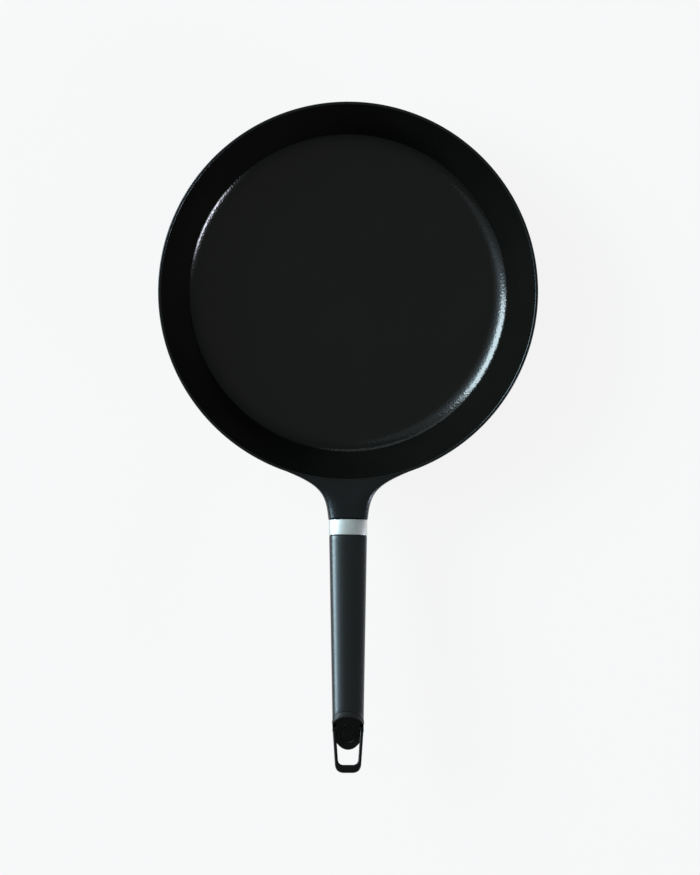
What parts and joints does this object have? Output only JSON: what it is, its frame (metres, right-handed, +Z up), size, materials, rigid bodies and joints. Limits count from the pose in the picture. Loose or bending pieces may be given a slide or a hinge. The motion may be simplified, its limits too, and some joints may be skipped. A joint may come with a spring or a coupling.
{
  "type": "skillet",
  "caption": "Round black iron skillet with a flared cast neck, steel ferrule, tapered dark grip, slanted end cap and a hanging loop that swings up.",
  "frame": {"origin": "centre of the flat base, on its underside", "axes": "+Z up out of the bowl, -Y along the handle towards the hanging loop, +X to the right when the handle points at the viewer"},
  "size_m": [0.28, 0.494, 0.0671],
  "materials": {
    "black_iron": "fine-grained satin black seasoning",
    "ferrule_steel": "polished stainless sleeve",
    "grip_resin": "fine-grained satin black moulding",
    "cap_resin": "satin black moulding",
    "zinc_steel": "zinc-plated fastener"
  },
  "bodies": {
    "pan": {"pan_body": "black_iron", "ferrule": "ferrule_steel", "grip": "grip_resin", "end_cap": "cap_resin", "loop_pin_left": "zinc_steel", "loop_pin_right": "zinc_steel", "handle_bolt": "zinc_steel", "bolt_washer": "zinc_steel", "lock_washer": "zinc_steel", "bolt_cover": "cap_resin"},
    "loop": {"hanging_loop": "cap_resin"}
  },
  "joints": [
    {"name": "loop_swing", "type": "hinge", "parent": "pan", "child": "loop", "pos_m": [0, -0.32102, 0.05827], "axis": [-1, 0, 0], "range_deg": [0, 90]}
  ]
}
